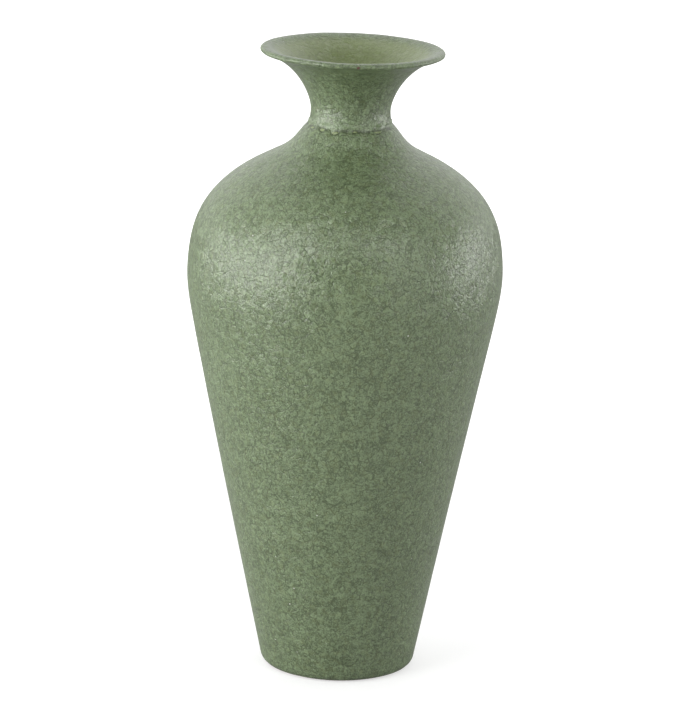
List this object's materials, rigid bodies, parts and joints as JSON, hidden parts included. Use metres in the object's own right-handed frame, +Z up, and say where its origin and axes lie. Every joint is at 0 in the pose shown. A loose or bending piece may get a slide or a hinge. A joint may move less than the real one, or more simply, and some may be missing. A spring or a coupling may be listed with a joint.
{
  "type": "stoneware vase",
  "caption": "Tall baluster vase in crackle-glazed stoneware: tapering body, rounded shoulder, narrow neck and a wide trumpet mouth.",
  "frame": {"origin": "middle of the foot, on the surface that the vase stands on", "axes": "+Z up along the turning axis; the vase is turned, so X and Y are free"},
  "size_m": [0.2236, 0.2236, 0.45],
  "materials": {
    "glaze": "satin-matt sage green crackle glaze",
    "stoneware": "matt fired clay",
    "coil_clay": "matt fired clay",
    "slip": "matt fired slip"
  },
  "bodies": {
    "root": {"foot_slab": "stoneware", "lower_body": "stoneware", "upper_body": "stoneware", "neck": "stoneware", "glaze_coat": "glaze", "foot_joint_slip": "slip", "belly_joint_slip": "slip", "neck_joint_slip": "slip", "foot_inner_coil": "coil_clay", "belly_inner_coil": "coil_clay", "neck_seam_coil": "coil_clay"}
  },
  "joints": []
}
